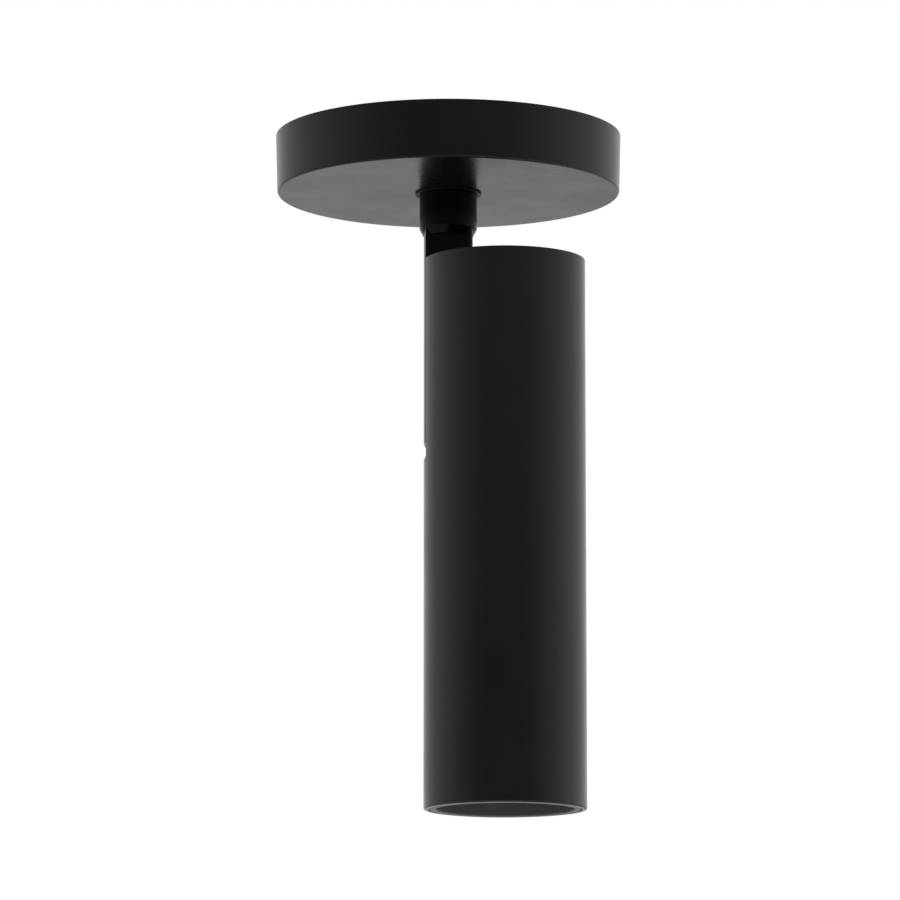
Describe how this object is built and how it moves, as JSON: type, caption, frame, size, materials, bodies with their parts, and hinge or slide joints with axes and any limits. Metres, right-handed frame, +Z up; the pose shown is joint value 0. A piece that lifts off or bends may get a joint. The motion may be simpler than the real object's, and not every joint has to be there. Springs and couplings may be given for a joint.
{
  "type": "surface mounted ceiling spotlight",
  "caption": "Black ceiling spotlight: round ceiling cup, swivelling stem with a flat-sided arm, and a slotted tube head that tilts on the arm's end.",
  "frame": {"origin": "centre of the two ceiling screw slots, in the plane of the ceiling", "axes": "+Z up into the ceiling, +X from the swivel's axis towards the tube's axis"},
  "size_m": [0.12, 0.12, 0.235],
  "materials": {
    "black_paint": "satin black powder coat",
    "zinc_steel": "bright zinc plate",
    "bare_aluminium": "turned",
    "brass": "plain",
    "fibre": "pressed fibre",
    "white_nylon": "moulded",
    "silicone": "moulded",
    "ceramic": "unglazed",
    "reflector": "vacuum metallised",
    "clear_glass": "clear",
    "nickel": "nickel plate",
    "brown_wire": "silicone insulation",
    "blue_wire": "silicone insulation",
    "green_yellow_wire": "silicone insulation"
  },
  "bodies": {
    "canopy": {"mounting_plate": "zinc_steel", "canopy_cup": "black_paint", "canopy_screws": "black_paint", "swivel_bush": "black_paint", "stop_pin": "zinc_steel", "friction_washer": "fibre", "terminal_block": "white_nylon", "terminal_clamp_screws": "brass", "terminal_fixing_screw": "zinc_steel", "canopy_live_lead": "brown_wire", "canopy_earth_lead": "green_yellow_wire", "canopy_neutral_lead": "blue_wire"},
    "swivel_arm": {"stem_arm": "black_paint", "stop_washer": "zinc_steel", "spring_washer": "zinc_steel", "swivel_locknut": "zinc_steel", "arm_live_lead": "brown_wire", "arm_earth_lead": "green_yellow_wire", "arm_neutral_lead": "blue_wire"},
    "tube_head": {"tube_body": "black_paint", "top_cap": "black_paint", "mouth_ring": "black_paint", "hinge_fork": "zinc_steel", "hinge_screw": "zinc_steel", "hinge_friction_washers": "fibre", "hinge_spring_washer": "zinc_steel", "hinge_locknut": "zinc_steel", "carrier_plate": "bare_aluminium", "fork_screws": "zinc_steel", "lead_grommet": "silicone", "earth_tag": "brass", "earth_screw": "zinc_steel", "standoffs": "zinc_steel", "standoff_screws": "zinc_steel", "lampholder": "ceramic", "lampholder_screws": "zinc_steel", "lamp_reflector": "reflector", "lamp_front_glass": "clear_glass", "lamp_base": "ceramic", "lamp_pins": "nickel", "lamp_capsule": "clear_glass", "tube_live_lead": "brown_wire", "tube_earth_lead": "green_yellow_wire", "tube_neutral_lead": "blue_wire"}
  },
  "joints": [
    {"name": "swivel", "type": "hinge", "parent": "canopy", "child": "swivel_arm", "pos_m": [0, 0, -0.0205], "axis": [0, 0, 1], "range_deg": [-170, 170]},
    {"name": "tilt", "type": "hinge", "parent": "swivel_arm", "child": "tube_head", "pos_m": [0, 0, -0.1], "axis": [0, 1, 0], "range_deg": [0, 90]}
  ]
}
